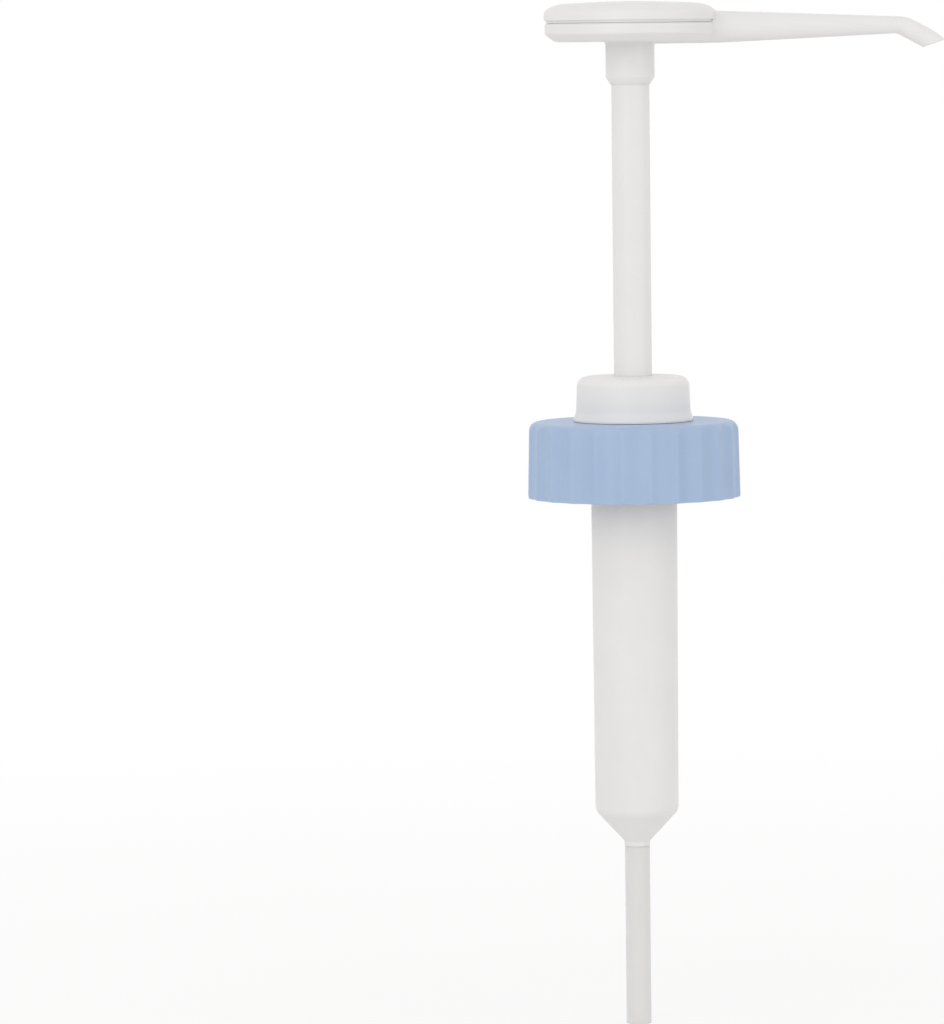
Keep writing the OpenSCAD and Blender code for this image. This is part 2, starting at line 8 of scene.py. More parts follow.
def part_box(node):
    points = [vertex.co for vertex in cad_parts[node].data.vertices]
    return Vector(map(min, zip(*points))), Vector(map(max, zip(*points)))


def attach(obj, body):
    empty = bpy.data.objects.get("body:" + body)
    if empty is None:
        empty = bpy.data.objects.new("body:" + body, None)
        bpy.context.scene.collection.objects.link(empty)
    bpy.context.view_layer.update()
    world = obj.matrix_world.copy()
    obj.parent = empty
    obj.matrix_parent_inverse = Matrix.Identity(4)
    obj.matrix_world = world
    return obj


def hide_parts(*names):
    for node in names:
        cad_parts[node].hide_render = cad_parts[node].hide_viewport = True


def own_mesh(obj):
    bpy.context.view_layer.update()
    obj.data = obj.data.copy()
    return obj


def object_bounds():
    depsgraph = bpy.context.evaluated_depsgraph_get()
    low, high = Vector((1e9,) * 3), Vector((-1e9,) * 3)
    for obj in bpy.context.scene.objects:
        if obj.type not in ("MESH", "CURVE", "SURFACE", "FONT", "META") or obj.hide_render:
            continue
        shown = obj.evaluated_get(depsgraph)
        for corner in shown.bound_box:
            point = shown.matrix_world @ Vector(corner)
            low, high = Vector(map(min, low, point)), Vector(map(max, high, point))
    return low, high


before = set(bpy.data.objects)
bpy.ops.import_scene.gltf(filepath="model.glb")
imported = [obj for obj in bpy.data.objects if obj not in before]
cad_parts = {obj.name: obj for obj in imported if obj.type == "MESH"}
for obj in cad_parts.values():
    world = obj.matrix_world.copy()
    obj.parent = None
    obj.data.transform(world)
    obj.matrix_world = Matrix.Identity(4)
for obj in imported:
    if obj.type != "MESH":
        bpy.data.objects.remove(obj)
cad_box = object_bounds()


# Camera: a long lens two metres away, level with the press head and turned a little down, so that the pump
# fills the picture from its lid to the end of its dip tube. The roll gives the slight lean of the pump.
MM = 0.001
LENS = 212.9
CAMERA_PLACE = Vector((-53.35, -1985, 128.8)) * MM
LOOK_DOWN = radians(4.37)
ROLL = radians(0.66)

camera = bpy.data.objects.new("camera", bpy.data.cameras.new("camera"))
camera.data.lens = LENS
camera.matrix_world = (
    Matrix.Translation(CAMERA_PLACE)
    @ Matrix.Rotation(pi / 2 - LOOK_DOWN, 4, "X")
    @ Matrix.Rotation(-ROLL, 4, "Z")
)
bpy.context.scene.collection.objects.link(camera)
bpy.context.scene.camera = camera
bpy.context.scene.view_settings.view_transform = "Standard"


# Studio: a floor of matt white paper under the foot of the tube, an even white surround and two broad soft
# lamps, the stronger one in front and to the left, which light a facing surface at about its own colour.
# Away from the tube the paper fades into the white of the background. The studio's sizes are in metres.
FLOOR_SIDE = 12
FLOOR_COLOUR = "#F4F4F2"
FLOOR_WHITE = 0.75
FLOOR_NEAR = 0.12
FLOOR_FAR = 0.8
SURROUND_LIGHT = 0.85
KEY_LAMP = {"place": (-1.2, -2.1, 0.9), "side": 1.5, "power": 10}
FILL_LAMP = {"place": (1.6, -1.5, 0.1), "side": 1.4, "power": 4.5}


def linear(colour):
    """Linear red, green, blue and alpha of an sRGB hex colour."""
    parts = [int(colour[i:i + 2], 16) / 255 for i in (1, 3, 5)]
    return [p / 12.92 if p <= 0.04045 else ((p + 0.055) / 1.055) ** 2.4 for p in parts] + [1]


def add(tree, kind, settings=None, links=None):
    """Adds a shader node, with settings for its sockets or its own properties, and links to its sockets."""
    made = tree.nodes.new("ShaderNode" + kind)
    sockets = {s.name: s for s in reversed(list(made.inputs))}
    sockets.update({s.identifier: s for s in made.inputs})
    for name, value in (settings or {}).items():
        if name in sockets:
            sockets[name].default_value = value
        else:
            setattr(made, name, value)
    for name, output in (links or {}).items():
        tree.links.new(output, sockets[name])
    return made


def background_rays(tree):
    """1 for the rays that show the background: straight to the camera, by a mirror or through glass."""
    path = add(tree, "LightPath")
    mirror = add(tree, "Math", {"operation": "MAXIMUM"}, {
        "Value": path.outputs["Is Camera Ray"], "Value_001": path.outputs["Is Glossy Ray"]})
    return add(tree, "Math", {"operation": "MAXIMUM"}, {
        "Value": mirror.outputs[0], "Value_001": path.outputs["Is Transmission Ray"]}).outputs[0]


def softbox(name, place, side, power):
    """Square lamp that faces the pump, and that the camera doesn't see."""
    lamp = bpy.data.objects.new(name, bpy.data.lights.new(name, "AREA"))
    lamp.data.size = side
    lamp.data.energy = power
    lamp.location = place
    lamp.rotation_euler = (-Vector(place)).to_track_quat("-Z", "Y").to_euler()
    lamp.visible_camera = False
    bpy.context.scene.collection.objects.link(lamp)


world = bpy.data.worlds.new("white surround")
world.use_nodes = True
world.node_tree.nodes.clear()
light = add(world.node_tree, "Background", {"Color": (1, 1, 1, 1), "Strength": SURROUND_LIGHT})
white = add(world.node_tree, "Background", {"Color": (1, 1, 1, 1), "Strength": 1})
both = add(world.node_tree, "MixShader", links={
    "Fac": background_rays(world.node_tree), "Shader": light.outputs[0], "Shader_001": white.outputs[0]})
add(world.node_tree, "OutputWorld", links={"Surface": both.outputs[0]})
bpy.context.scene.world = world

paper = bpy.data.materials.new("matt white paper")
paper.use_nodes = True
paper.node_tree.nodes.clear()
matt = add(paper.node_tree, "BsdfDiffuse", {"Color": linear(FLOOR_COLOUR)})
white = add(paper.node_tree, "Emission", {"Strength": 1})
place = add(paper.node_tree, "TexCoord").outputs["Object"]
away = add(paper.node_tree, "VectorMath", {"operation": "LENGTH"}, {"Vector": place})
fade = add(paper.node_tree, "MapRange", {
    "From Min": FLOOR_NEAR,
    "From Max": FLOOR_FAR,
    "To Min": FLOOR_WHITE,
    "To Max": 1,
}, {"Value": away.outputs["Value"]})
share = add(paper.node_tree, "Math", {"operation": "MULTIPLY"}, {
    "Value": background_rays(paper.node_tree), "Value_001": fade.outputs["Result"]})
both = add(paper.node_tree, "MixShader", links={
    "Fac": share.outputs[0], "Shader": matt.outputs[0], "Shader_001": white.outputs[0]})
add(paper.node_tree, "OutputMaterial", links={"Surface": both.outputs[0]})

bm = bmesh.new()
bmesh.ops.create_grid(bm, x_segments=1, y_segments=1, size=FLOOR_SIDE / 2)
floor = bpy.data.objects.new("floor", bpy.data.meshes.new("floor"))
bm.to_mesh(floor.data)
bm.free()
floor.location.z = cad_box[0].z
floor.data.materials.append(paper)
bpy.context.scene.collection.objects.link(floor)
softbox("key lamp", **KEY_LAMP)
softbox("fill lamp", **FILL_LAMP)


# Barrel: the pump's cylinder, with a flange that the cap clamps on the neck, a snap neck above it, and a
# cone, stub and spigot below. Moulded in one piece from white polypropylene, in a finely etched mould:
# the eye sees an even satin white that glows a little where it is thin, without any print of a tool.
WHITE_PP = "#EBE9E8"
WHITE_PP_SHADE = "#E5E3E2"
ETCH_GRAIN = 0.5
ETCH_DEPTH = 0.05
GLOSS_SWING = 0.06
FLOW_CLOUD = 14
GLOW_TINT = (1, 0.95, 0.9)
PP_IOR = 1.49
SHARP_EDGE = radians(40)
TURN_STEPS = 128
EDGE_STEPS = 8
# Largest share of a straight stretch that the rounding of a corner may take
EDGE_SHARE = 0.48
# Points closer than this become one
WELD = 0.001

BARREL_TOP_R = 14.2
BARREL_FOOT_R = 13.7
BARREL_CORNER_R = 4.2
FLANGE_T = 2.2
SNAP_NECK_R = 14.6
SNAP_BEAD = 0.4
SNAP_BEAD_H = 1.6
COLLAR_LIFT = 0.1
CONE_H = 10.3
CONE_WALL_Z = 0.21
STUB_L = 1.6
STUB_LIP = 0.1
SPIGOT_R = 2.97
SPIGOT_BORE_R = 2
SEAT_HOLE_H = 0.55
PRESS_GAP = 0.03
LEDGE_W = 1
FINE_EDGE = 0.4
VENT_R = 0.9
VENT_Z = -3.5
VENT_STEPS = 24


def low(node):
    """Lowest corner of a CAD node, in millimetres."""
    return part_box(node)[0] / MM


def high(node):
    """Highest corner of a CAD node, in millimetres."""
    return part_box(node)[1] / MM


def polymer(name, colour, shade, roughness, glow, glow_depth, drawn=1):
    """Plastic or rubber: a faint cloud from the flow of the melt, and the mould's etched grain in its gloss
    and surface. The real grain is about 0.1 mm wide, too fine to show, so ETCH_GRAIN draws it coarser.
    Extruded plastic has both drawn out along the axis."""
    material = bpy.data.materials.new(name)
    material.use_nodes = True
    tree = material.node_tree
    tree.nodes.clear()
    place = add(tree, "Mapping", {"Scale": (1, 1, 1 / drawn)}, {
        "Vector": add(tree, "TexCoord").outputs["Object"]}).outputs["Vector"]
    cloud = add(tree, "TexNoise", {"Scale": 1 / (FLOW_CLOUD * MM), "Detail": 2}, {"Vector": place})
    grain = add(tree, "TexNoise", {"Scale": 1 / (ETCH_GRAIN * MM), "Detail": 1}, {"Vector": place})
    tint = add(tree, "Mix", {"data_type": "RGBA", "A_Color": linear(colour), "B_Color": linear(shade)}, {
        "Factor_Float": cloud.outputs["Fac"]})
    gloss = add(tree, "MapRange", {"To Min": roughness - GLOSS_SWING, "To Max": roughness + GLOSS_SWING}, {
        "Value": grain.outputs["Fac"]})
    relief = add(tree, "Bump", {"Distance": ETCH_DEPTH * MM}, {"Height": grain.outputs["Fac"]})
    shader = add(tree, "BsdfPrincipled", {
        "IOR": PP_IOR,
        "Subsurface Weight": glow,
        "Subsurface Radius": GLOW_TINT,
        "Subsurface Scale": glow_depth * MM,
    }, {
        "Base Color": next(s for s in tint.outputs if s.identifier == "Result_Color"),
        "Roughness": gloss.outputs["Result"],
        "Normal": relief.outputs["Normal"],
    })
    add(tree, "OutputMaterial", links={"Surface": shader.outputs["BSDF"]})
    return material


def rounded(corners):
    """Closed outline of [radius, height] points. A corner with a third number is rounded to that radius."""
    points = []
    for i, (r, z, *edge) in enumerate(corners):
        corner = Vector((r, z))
        back = Vector(corners[i - 1][:2]) - corner
        ahead = Vector(corners[(i + 1) % len(corners)][:2]) - corner
        if not edge:
            points.append(corner)
            continue
        half = back.angle(ahead) / 2
        radius = min(edge[0], EDGE_SHARE * min(back.length, ahead.length) * tan(half))
        centre = corner + (back.normalized() + ahead.normalized()).normalized() * radius / sin(half)
        first = corner + back.normalized() * radius / tan(half) - centre
        last = corner + ahead.normalized() * radius / tan(half) - centre
        start = atan2(first.y, first.x)
        sweep = (atan2(last.y, last.x) - start + pi) % (2 * pi) - pi
        turns = [start + sweep * k / EDGE_STEPS for k in range(EDGE_STEPS + 1)]
        points += [centre + radius * Vector((cos(t), sin(t))) for t in turns]
    return points


def skin(rings, closed):
    """Mesh of quads through equal rings of points. If closed, the last ring joins the first, or else the
    ends are capped."""
    bm = bmesh.new()
    rows = [[bm.verts.new(Vector(p) * MM) for p in ring] for ring in rings]
    pairs = list(zip(rows, rows[1:] + rows[:1])) if closed else list(zip(rows, rows[1:]))
    for a, b in pairs:
        for k in range(len(a)):
            bm.faces.new((a[k - 1], a[k], b[k], b[k - 1]))
    if not closed:
        bm.faces.new(rows[0])
        bm.faces.new(rows[-1])
    bmesh.ops.remove_doubles(bm, verts=bm.verts, dist=WELD * MM)
    bmesh.ops.recalc_face_normals(bm, faces=bm.faces)
    return bm


def turned(corners, steps=TURN_STEPS):
    """Mesh of an outline turned about the pump's axis."""
    turns = [2 * pi * i / steps for i in range(steps)]
    return skin([[(r * cos(t), r * sin(t), z) for t in turns] for r, z in rounded(corners)], closed=True)


def shape(name, bm):
    """Object of a mesh, with smooth faces and crisp edges."""
    for face in bm.faces:
        face.smooth = True
    for edge in bm.edges:
        edge.smooth = len(edge.link_faces) == 2 and edge.calc_face_angle() < SHARP_EDGE
    made = bpy.data.objects.new(name, bpy.data.meshes.new(name))
    bm.to_mesh(made.data)
    bm.free()
    bpy.context.scene.collection.objects.link(made)
    even = made.modifiers.new("even shading", "WEIGHTED_NORMAL")
    even.keep_sharp = True
    return made


def worked(bm, tool, operation):
    """Mesh of one solid after another has been added to it or cut out of it."""
    pair = [bpy.data.objects.new("blank", bpy.data.meshes.new("blank")) for _ in range(2)]
    for blank, solid in zip(pair, (bm, tool)):
        solid.to_mesh(blank.data)
        solid.free()
        bpy.context.scene.collection.objects.link(blank)
    step = pair[0].modifiers.new("work", "BOOLEAN")
    step.operation = operation
    step.solver = "EXACT"
    step.object = pair[1]
    result = bmesh.new()
    result.from_object(pair[0], bpy.context.evaluated_depsgraph_get())
    for blank in pair:
        bpy.data.objects.remove(blank)
    return result


white_pp = polymer(
    "moulded white polypropylene", WHITE_PP, WHITE_PP_SHADE, roughness=0.42, glow=0.2, glow_depth=2)

flange_z = high("neck_gasket").z
flange_r = high("barrel").x
stub_z = high("dip_tube").z + PRESS_GAP
stub_r = high("dip_tube").x + STUB_LIP
bore_r = high("valve_cage").x + PRESS_GAP
ledge_z = low("valve_cage").z
cone_z = stub_z + STUB_L
corner_z = cone_z + CONE_H
collar_z = high("screw_cap").z + COLLAR_LIFT
bead_z = (collar_z + high("barrel").z) / 2
bm = turned([
    [SPIGOT_BORE_R, low("barrel").z],
    [SPIGOT_R, low("barrel").z, FINE_EDGE],
    [SPIGOT_R, stub_z],
    [stub_r, stub_z, FINE_EDGE / 2],
    [stub_r, cone_z, FINE_EDGE],
    [BARREL_FOOT_R, corner_z, BARREL_CORNER_R],
    [BARREL_TOP_R, flange_z],
    [flange_r, flange_z, FINE_EDGE],
    [flange_r, flange_z + FLANGE_T, FINE_EDGE],
    [SNAP_NECK_R, flange_z + FLANGE_T, FINE_EDGE],
    [SNAP_NECK_R, bead_z - SNAP_BEAD_H / 2],
    [SNAP_NECK_R + SNAP_BEAD, bead_z, FINE_EDGE],
    [SNAP_NECK_R, bead_z + SNAP_BEAD_H / 2],
    [SNAP_NECK_R, high("barrel").z, FINE_EDGE],
    [bore_r, high("barrel").z, FINE_EDGE],
    [bore_r, ledge_z],
    [bore_r - LEDGE_W, ledge_z],
    [bore_r - LEDGE_W, corner_z - CONE_WALL_Z],
    [SPIGOT_BORE_R, cone_z + SEAT_HOLE_H],
])
vent_turns = [2 * pi * k / VENT_STEPS for k in range(VENT_STEPS)]
vent = skin([
    [(VENT_R * cos(t), y, VENT_Z + VENT_R * sin(t)) for t in vent_turns]
    for y in (bore_r - LEDGE_W, BARREL_TOP_R + LEDGE_W)
], closed=False)
barrel = shape("barrel_shell", worked(bm, vent, "DIFFERENCE"))
barrel.data.materials.append(white_pp)
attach(barrel, "pump_body")
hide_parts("barrel")


# Lower valve: a ball on the cone of the barrel's foot, under a spoked cage that is pressed into the barrel.
# The ball is ground and polished stainless steel, a grey mirror that fine scratches blur a little. The cage
# is moulded from natural polyethylene, milky rather than white, and glows through where it is thin.
STAINLESS = "#C9CBCD"
BALL_ROUGHNESS = 0.14
SCRATCH_W = 0.25
SCRATCH_DEPTH = 0.002
SCRATCH_SWING = (0.6, 1.6)
NATURAL_PE = "#E6E3E1"
NATURAL_PE_SHADE = "#E0DDDB"


def steel(name, roughness):
    """Stainless steel, with scratches that cross each other in its gloss and surface. Real ones are about
    0.02 mm wide, too fine to show, so SCRATCH_W draws them coarser."""
    material = bpy.data.materials.new(name)
    material.use_nodes = True
    tree = material.node_tree
    tree.nodes.clear()
    place = add(tree, "TexCoord").outputs["Object"]
    scratch = add(tree, "TexNoise", {"Scale": 1 / (SCRATCH_W * MM), "Detail": 3, "Distortion": 2}, {
        "Vector": place})
    least, most = SCRATCH_SWING
    gloss = add(tree, "MapRange", {"To Min": roughness * least, "To Max": roughness * most}, {
        "Value": scratch.outputs["Fac"]})
    relief = add(tree, "Bump", {"Distance": SCRATCH_DEPTH * MM}, {"Height": scratch.outputs["Fac"]})
    shader = add(tree, "BsdfPrincipled", {"Base Color": linear(STAINLESS), "Metallic": 1}, {
        "Roughness": gloss.outputs["Result"], "Normal": relief.outputs["Normal"]})
    add(tree, "OutputMaterial", links={"Surface": shader.outputs["BSDF"]})
    return material


def finish(node, material):
    """Gives a CAD node that stays its finish."""
    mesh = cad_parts[node].data
    mesh.materials.clear()
    mesh.materials.append(material)


ball_steel = steel("polished stainless steel", BALL_ROUGHNESS)
natural_pe = polymer(
    "moulded natural polyethylene", NATURAL_PE, NATURAL_PE_SHADE, roughness=0.4, glow=0.35, glow_depth=3)
finish("suction_ball", ball_steel)
finish("valve_cage", natural_pe)


# Return spring: cold-wound stainless wire with closed ends, standing on the cage and pressing on the piston.
# Drawn wire is duller than the polished ball, a soft grey shine without a clear mirror image.
WIRE_R = 0.7
WIRE_ROUGHNESS = 0.3
SPRING_TURNS = 11
END_RISE = 2
CURL_STEPS = 40
WIRE_STEPS = 12

spring_r = high("return_spring").x - WIRE_R
spring_z = low("return_spring").z + WIRE_R
spring_l = high("return_spring").z - WIRE_R - spring_z


def spring_height(turns):
    """Height of the wire's middle after a number of turns: the first and last turn lie close to the next."""
    pitch = (spring_l - 2 * END_RISE) / (SPRING_TURNS - 2)
    middle = min(max(turns - 1, 0), SPRING_TURNS - 2)
    return END_RISE * (min(turns, 1) + max(turns - SPRING_TURNS + 1, 0)) + pitch * middle


def wire_ring(turns):
    """Ring round the wire after a number of turns."""
    up = Vector((0, 0, 1))
    out = Vector((cos(2 * pi * turns), sin(2 * pi * turns), 0))
    centre = spring_r * out + (spring_z + spring_height(turns)) * up
    around = [2 * pi * k / WIRE_STEPS for k in range(WIRE_STEPS)]
    return [centre + WIRE_R * (cos(t) * out + sin(t) * up) for t in around]


spring = shape("spring_wire", skin(
    [wire_ring(i / CURL_STEPS) for i in range(SPRING_TURNS * CURL_STEPS + 1)], closed=False))
# The wire does without the modifier for even shading, so that its mesh is final as it stands
spring.modifiers.clear()
spring.data.materials.append(steel("drawn stainless wire", WIRE_ROUGHNESS))
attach(spring, "pump_body")
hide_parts("return_spring")
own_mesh(spring)


# Piston: a cup of natural polyethylene on the stem's neck, with two black nitrile rings that wipe the bore.
# The rings are moulded rubber and lie in grooves of the cup: matt, with a faint grey bloom in patches.
RUBBER = "#1F1F21"
RUBBER_BLOOM = "#2B2B2C"

nitrile = polymer("moulded nitrile rubber", RUBBER, RUBBER_BLOOM, roughness=0.68, glow=0, glow_depth=1)
finish("piston", natural_pe)
finish("upper_piston_ring", nitrile)
finish("lower_piston_ring", nitrile)


# Stem: a hollow rod of white polypropylene that slides through the collar. A moulded nut with the seat of
# the upper ball holds the piston on its foot.
finish("stem", white_pp)
finish("piston_nut", white_pp)
finish("discharge_ball", ball_steel)


# Collar: a thick white polypropylene cup, snapped over the barrel's neck, with a rounded top and a flared
# foot just above the screw cap. Inside it guides the stem, which a lip ring of polyethylene wipes dry.
COLLAR_TOP_R = 18.3
COLLAR_SIDE_R = 18.8
COLLAR_EDGE_R = 3.2
COLLAR_CROWN = 0.3
COLLAR_FLARE_H = 3.2
COLLAR_FLARE_R = 4
COLLAR_RIM_H = 0.7
COLLAR_CEILING_T = 3.4
COLLAR_MOUTH_EDGE = 0.3
GUIDE_BORE_R = 7.15
SLIDE_GAP = 0.08

stem_hole_r = high("stem").x + SLIDE_GAP
collar_top = high("collar").z
collar_foot_r = high("collar").x
ceiling_z = collar_top - COLLAR_CEILING_T
wiper_r = high("stem_wiper").x + PRESS_GAP
wiper_z = low("stem_wiper").z - PRESS_GAP
neck_r = SNAP_NECK_R + PRESS_GAP
groove_h = SNAP_BEAD_H / 2 + PRESS_GAP
guide_r = bore_r - PRESS_GAP
collar = shape("collar_shell", turned([
    [neck_r, collar_z],
    [collar_foot_r, collar_z, FINE_EDGE / 2],
    [collar_foot_r, collar_z + COLLAR_RIM_H, FINE_EDGE],
    [COLLAR_SIDE_R, collar_z + COLLAR_FLARE_H, COLLAR_FLARE_R],
    [COLLAR_TOP_R, collar_top - COLLAR_CROWN, COLLAR_EDGE_R],
    [stem_hole_r, collar_top, COLLAR_MOUTH_EDGE],
    [stem_hole_r, ceiling_z],
    [wiper_r, ceiling_z],
    [wiper_r, wiper_z],
    [GUIDE_BORE_R, wiper_z],
    [GUIDE_BORE_R, low("collar").z],
    [guide_r, low("collar").z, FINE_EDGE],
    [guide_r, ceiling_z],
    [neck_r, ceiling_z],
    [neck_r, bead_z + groove_h],
    [neck_r + SNAP_BEAD, bead_z],
    [neck_r, bead_z - groove_h],
]))
collar.data.materials.append(white_pp)
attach(collar, "pump_body")
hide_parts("collar")
finish("stem_wiper", natural_pe)


# Screw cap: a light blue polypropylene nut that turns between the collar and the barrel's flange, moulded
# with hollow flutes from its rounded shoulder down to its lower edge, and with a coarse thread inside. Its
# satin surface shows a soft even blue, with a thin light along the ridges between the flutes.
BLUE_PP = "#A8BCD9"
BLUE_PP_SHADE = "#A0B6D4"
CAP_TOP_R = 34.5
CAP_TOP_T = 2.2
CAP_WALL = 4.8
CAP_SHOULDER_R = 3.2
CAP_FOOT_EDGE = 0.7
CAP_INNER_EDGE = 0.6
CAP_HOLE_GAP = 0.7
CAP_ROW = 0.6
FLUTES = 24
FLUTE_STEPS = 20
FLUTE_DEPTH = 1.25
FLUTE_R = 9
RIDGE_ROUND = 0.35
THREAD_PITCH = 4
THREAD_TURNS = 2.5
THREAD_DEPTH = 1.8
THREAD_ROOT_H = 2.6
THREAD_CREST_H = 1.2
THREAD_FADE = 0.25

cap_top = high("screw_cap").z
cap_foot = low("screw_cap").z
cap_foot_r = high("screw_cap").x
cap_hole_r = SNAP_NECK_R + CAP_HOLE_GAP
thread_r = cap_foot_r - CAP_WALL


def fluted(r, z, turn):
    """Radius of the cap's slanting side after the flute at this turn has been cut, with rounded ridges."""
    pitch = 2 * pi / FLUTES
    off = (turn + pitch / 2) % pitch - pitch / 2
    side = cap_foot_r + (CAP_TOP_R - cap_foot_r) * (z - cap_foot) / (cap_top - cap_foot)
    cutter = side - FLUTE_DEPTH + FLUTE_R
    flute = cutter * cos(off) - sqrt(max(FLUTE_R ** 2 - (cutter * sin(off)) ** 2, 0))
    near = max(RIDGE_ROUND - abs(r - flute), 0) / RIDGE_ROUND
    return min(r, flute) - near ** 2 * RIDGE_ROUND / 4


def threaded(turn, z):
    """Radius of the cap's bore, with the thread standing out of it."""
    depth = 0
    for lap in range(int(THREAD_TURNS) + 1):
        turns = lap + turn / (2 * pi)
        off = abs(z - cap_foot - THREAD_ROOT_H - THREAD_PITCH * turns)
        rise = (THREAD_ROOT_H / 2 - off) / (THREAD_ROOT_H / 2 - THREAD_CREST_H / 2)
        fade = min(turns / THREAD_FADE, (THREAD_TURNS - turns) / THREAD_FADE)
        depth = max(depth, THREAD_DEPTH * max(min(rise, fade, 1), 0))
    return thread_r - depth


def split(points, step):
    """The outline with its straight stretches divided into steps of about that length."""
    fine = []
    for a, b in zip(points, points[1:] + points[:1]):
        parts = max(round((b - a).length / step), 1)
        fine += [a.lerp(b, k / parts) for k in range(parts)]
    return fine


def cap_ring(r, z):
    """Ring at a point of the cap's outline: threaded in the bore, fluted outside, and plain elsewhere."""
    turns = [2 * pi * i / (FLUTES * FLUTE_STEPS) for i in range(FLUTES * FLUTE_STEPS)]
    if abs(r - thread_r) < PRESS_GAP:
        reach = [threaded(t, z) for t in turns]
    elif r > thread_r + CAP_WALL / 2:
        reach = [fluted(r, z, t) for t in turns]
    else:
        reach = [r] * len(turns)
    return [(q * cos(t), q * sin(t), z) for q, t in zip(reach, turns)]


cap_outline = split(rounded([
    [cap_hole_r, cap_top - CAP_TOP_T],
    [thread_r, cap_top - CAP_TOP_T, CAP_INNER_EDGE],
    [thread_r, cap_foot, CAP_INNER_EDGE],
    [cap_foot_r, cap_foot, CAP_FOOT_EDGE],
    [CAP_TOP_R, cap_top, CAP_SHOULDER_R],
    [cap_hole_r, cap_top, FINE_EDGE],
]), CAP_ROW)
blue_pp = polymer(
    "moulded light blue polypropylene", BLUE_PP, BLUE_PP_SHADE, roughness=0.4, glow=0.15, glow_depth=1.5)
cap = shape("cap_shell", skin([cap_ring(r, z) for r, z in cap_outline], closed=True))
cap.data.materials.append(blue_pp)
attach(cap, "cap")
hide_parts("screw_cap")


# Gasket: a flat ring of soft grey rubber under the flange, which the cap presses on the rim of the neck.
# It is matt, with a slightly uneven bloom.
GASKET_EDGE = 0.5
GASKET = "#CCCCC9"
GASKET_SHADE = "#C2C2BF"

gasket_in = BARREL_TOP_R + SLIDE_GAP
gasket = shape("gasket_ring", turned([
    [gasket_in, low("neck_gasket").z, GASKET_EDGE],
    [high("neck_gasket").x, low("neck_gasket").z, GASKET_EDGE],
    [high("neck_gasket").x, high("neck_gasket").z, GASKET_EDGE],
    [gasket_in, high("neck_gasket").z, GASKET_EDGE],
]))
gasket.data.materials.append(polymer(
    "moulded soft grey rubber", GASKET, GASKET_SHADE, roughness=0.75, glow=0, glow_depth=1))
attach(gasket, "pump_body")
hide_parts("neck_gasket")


# Dip tube: a straight length of extruded natural polyethylene, cut off square and pushed over the spigot.
# It is milky rather than white, and a shade darker than the barrel.
TUBE_BORE_R = 3
TUBE_CUT_EDGE = 0.15
TUBE_DRAWN = 30

tube_r = high("dip_tube").x
tube = shape("tube_length", turned([
    [TUBE_BORE_R, low("dip_tube").z, TUBE_CUT_EDGE],
    [tube_r, low("dip_tube").z, TUBE_CUT_EDGE],
    [tube_r, high("dip_tube").z, TUBE_CUT_EDGE],
    [TUBE_BORE_R, high("dip_tube").z, TUBE_CUT_EDGE],
]))
tube.data.materials.append(polymer(
    "extruded natural polyethylene", NATURAL_PE, NATURAL_PE_SHADE, roughness=0.36, glow=0.35, glow_depth=3,
    drawn=TUBE_DRAWN))
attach(tube, "pump_body")
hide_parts("dip_tube")


# Head base: the lower half of the press head, one white polypropylene moulding with the socket that grips
# the stem and the long tapering spout. The spout swells out of the side wall, its duct shows as a keel under
# the head, and its tip is bent down and cut aslant.
HEAD_WALL = 2
LID_OVERHANG = 0.3
SOCKET_R = 8
SOCKET_TAPER_L = 2.4
SOCKET_LIP = 0.2
SOCKET_FILLET = 1
STEM_BORE_R = 4.25
STEM_GRIP = 0.5
HEAD_BELLY_R = 24.6
HEAD_BELLY_H = 2.7
HEAD_BELLY_EDGE = 4
HEAD_CREASE = 1
HEAD_BASE_H = 6.2
HEAD_BASE_EDGE = 1
TOWER_H = 9.2
TOWER_BORE_H = 6.9
SPOUT_RISE = 4.5
SPOUT_ROOT_R = 5.25
SPOUT_WAIST_R = 2.8
SPOUT_TIP_R = 3.2
SPOUT_WAIST_X = 86.5
# Lengths of the spout beyond its waist, with the degrees that each bends down
SPOUT_RUNS = ((5, 28), (4, 0), (5, 8))
SPOUT_CUT = radians(19)
SPOUT_CUT_L = 6
SPOUT_BORE_R = 1.9
SPOUT_LIP = 0.4
# Points round the lip, in lips: inwards from the outside or outwards from the bore, and forward
LIP_OUTSIDE = ((0.3, 0.7), (1, 1))
LIP_INSIDE = ((0.5, 1), (0, 0.5))
SPOUT_FILLET = 2.4
SPOUT_TOP_FILLET = 1.2
SPOUT_STEPS = 64
TAPER_STEPS = 24
FILLET_STEPS = 6
FILLET_REACH = radians(80)
WALL_SINK = 1
STEP_L = 0.5
DUCT_R = 3.9
DUCT_X = 6
DUCT_L = 16
# Shares of the duct's radius below its middle, between which its sides widen to the keel
KEEL_TOP = 0.25
KEEL_FULL = 0.75
DOME_DROP = 1.25
RIM_W = 6
RIM_DROP = 3.2

head_z = high("stem").z - STEM_GRIP
head_r = high("head_lid").x
base_r = head_r - LID_OVERHANG
cup_r = base_r - HEAD_WALL
socket_z = low("head_base").z
spout_z = head_z + SPOUT_RISE
lid_top = high("head_lid").z
rim_z = lid_top - DOME_DROP - RIM_DROP
spout_turns = [2 * pi * k / SPOUT_STEPS for k in range(SPOUT_STEPS)]


def spout_line():
    """Points of the spout's middle line beyond its waist, a step apart, each with its heading downwards."""
    x, z, heading = SPOUT_WAIST_X, spout_z, 0
    points = [(x, z, heading)]
    for length, turn in SPOUT_RUNS:
        steps = round(length / STEP_L)
        for _ in range(steps):
            heading += radians(turn) / steps
            x += STEP_L * cos(heading)
            z -= STEP_L * sin(heading)
            points.append((x, z, heading))
    return points


def taper_r(x):
    """Radius of the spout between the head and its waist."""
    along = (x - head_r) / (SPOUT_WAIST_X - head_r)
    return SPOUT_ROOT_R + (SPOUT_WAIST_R - SPOUT_ROOT_R) * along


